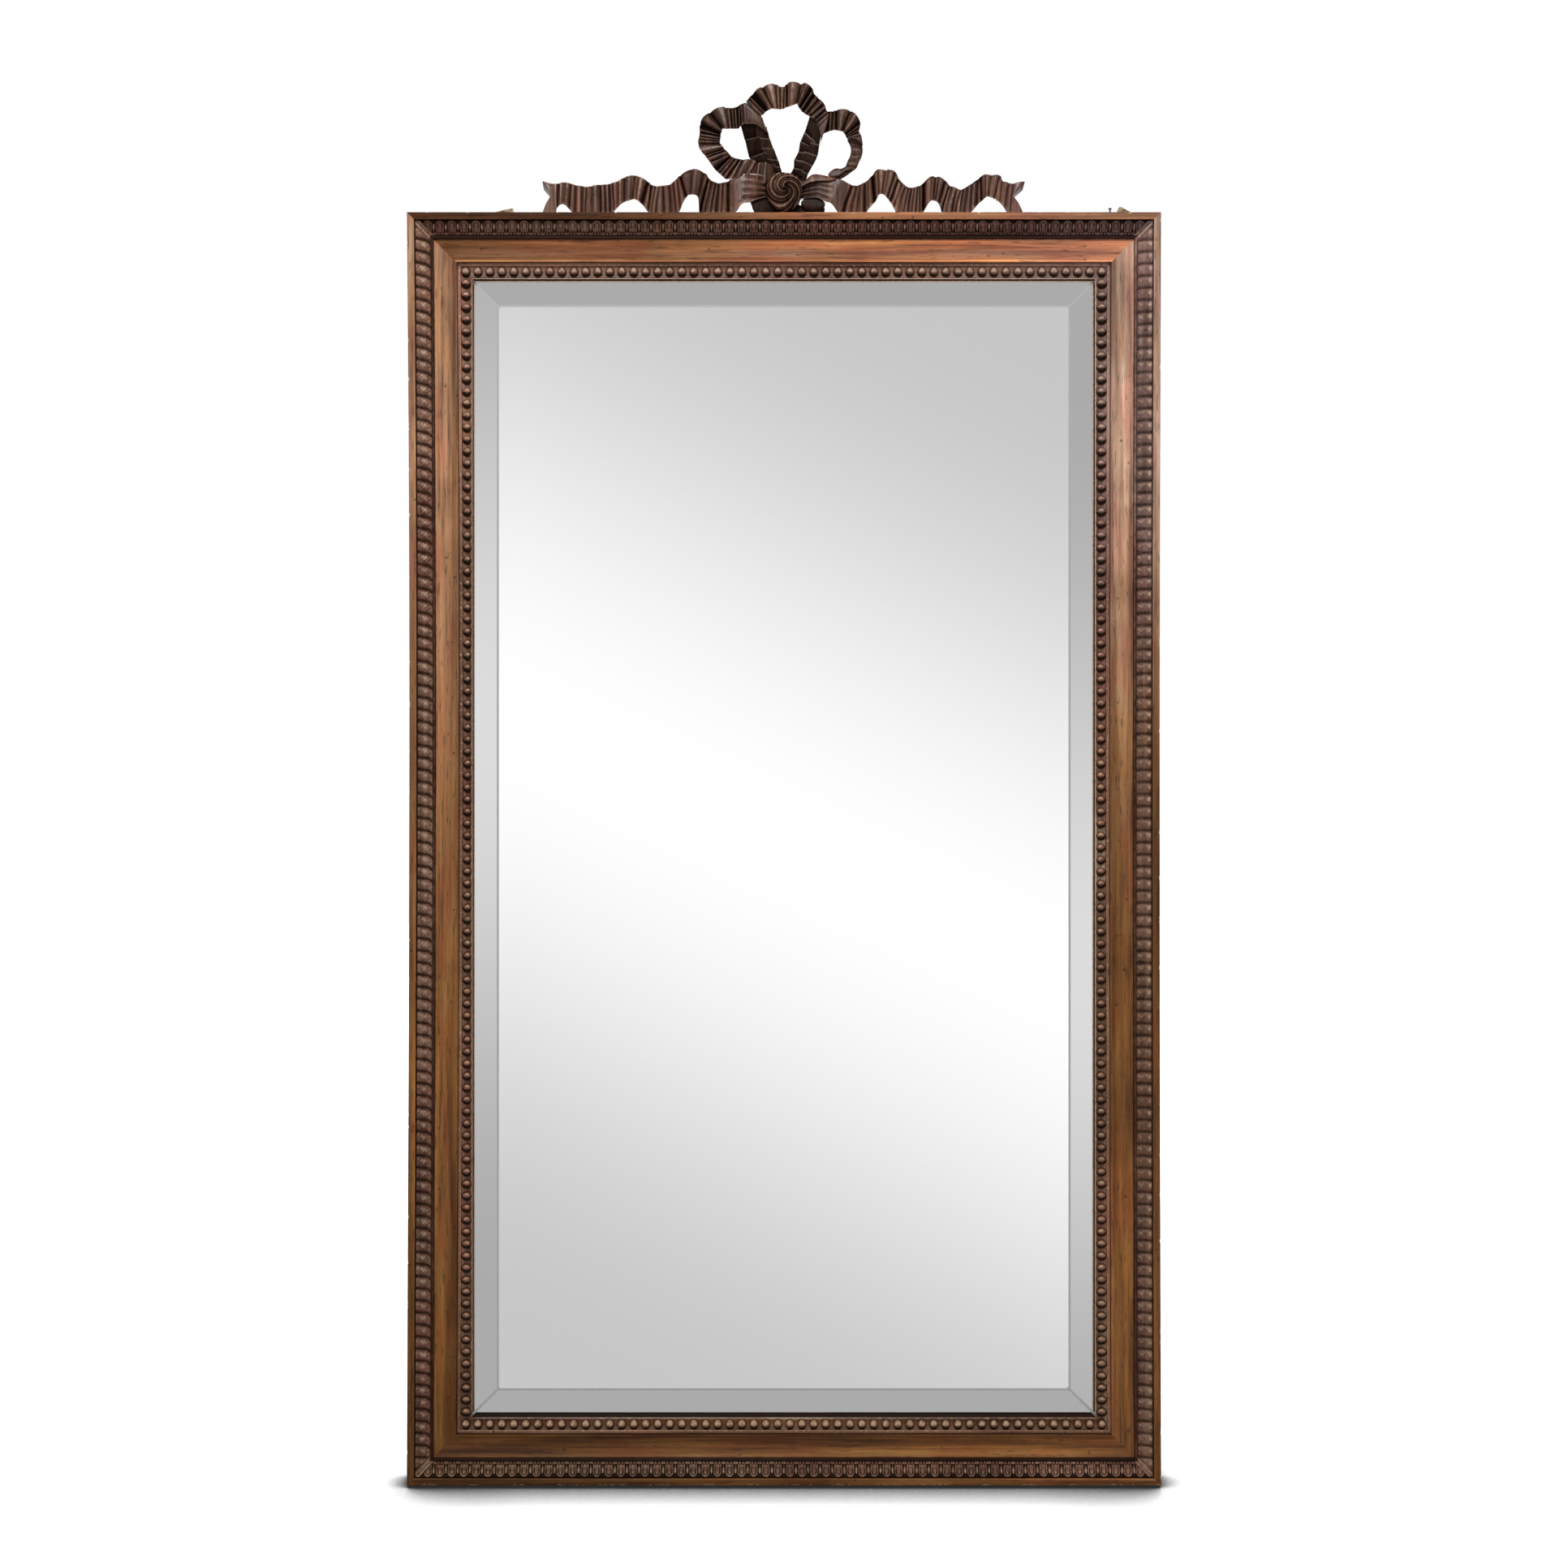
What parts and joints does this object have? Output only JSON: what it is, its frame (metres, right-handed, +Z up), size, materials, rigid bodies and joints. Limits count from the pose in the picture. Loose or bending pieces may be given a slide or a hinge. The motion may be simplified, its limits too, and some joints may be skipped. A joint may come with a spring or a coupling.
{
  "type": "pier mirror",
  "caption": "Tall wall mirror: bevelled glass in a mitred walnut frame with a carved leaf band, a hollow and a pearl strip, topped by a pierced ribbon bow; hangs from swivelling brass plates.",
  "frame": {"origin": "bottom centre of the frame's back face, on the plane of the wall", "axes": "+X to the right as seen from the front, +Y into the wall, +Z up; the glass faces -Y"},
  "size_m": [0.93, 0.0528, 1.7298],
  "materials": {
    "walnut": "old waxed walnut, worn and chipped",
    "carved_walnut": "carved walnut, dark wax in the hollows",
    "crest_walnut": "carved walnut, dark waxed",
    "mirror_glass": "silvered plate with a ground and polished bevel",
    "backing_paint": "red-brown paint over the silvering",
    "softwood": "plain sawn softwood",
    "back_pine": "planed pine, aged",
    "hanger_brass": "dull sheet brass",
    "screw_brass": "tarnished brass screws",
    "iron": "dark steel"
  },
  "bodies": {
    "frame": {"frame_left_stile": "walnut", "frame_right_stile": "walnut", "frame_top_rail": "walnut", "frame_bottom_rail": "walnut", "leaf_band_left": "carved_walnut", "leaf_band_right": "carved_walnut", "leaf_band_top": "carved_walnut", "leaf_band_bottom": "carved_walnut", "pearl_strip_left": "carved_walnut", "pearl_strip_right": "carved_walnut", "pearl_strip_top": "carved_walnut", "pearl_strip_bottom": "carved_walnut", "mitre_keys": "softwood", "mirror_plate": "mirror_glass", "silvering": "backing_paint", "plate_blocks": "softwood", "back_left_stile": "back_pine", "back_right_stile": "back_pine", "back_top_rail": "back_pine", "back_upper_rail": "back_pine", "back_lower_rail": "back_pine", "back_bottom_rail": "back_pine", "back_panel_top": "back_pine", "back_panel_middle": "back_pine", "back_panel_bottom": "back_pine", "back_screws": "screw_brass", "crest_knot": "crest_walnut", "crest_curl": "crest_walnut", "crest_centre_loop": "crest_walnut", "crest_left_loop": "crest_walnut", "crest_right_loop": "crest_walnut", "crest_left_stem": "crest_walnut", "crest_right_stem": "crest_walnut", "crest_left_tail": "crest_walnut", "crest_right_tail": "crest_walnut", "crest_block": "crest_walnut", "crest_batten": "softwood", "crest_dowels": "softwood", "crest_screws": "iron", "hanger_screws": "screw_brass", "top_nail": "iron"},
    "left_hanger": {"left_hanger": "hanger_brass"},
    "right_hanger": {"right_hanger": "hanger_brass"}
  },
  "joints": [
    {"name": "left_hanger_swivel", "type": "hinge", "parent": "frame", "child": "left_hanger", "pos_m": [-0.341, 0.0013, 1.5375], "axis": [0, 1, 0], "continuous": true},
    {"name": "right_hanger_swivel", "type": "hinge", "parent": "frame", "child": "right_hanger", "pos_m": [0.41, 0.0013, 1.5405], "axis": [0, 1, 0], "continuous": true}
  ]
}
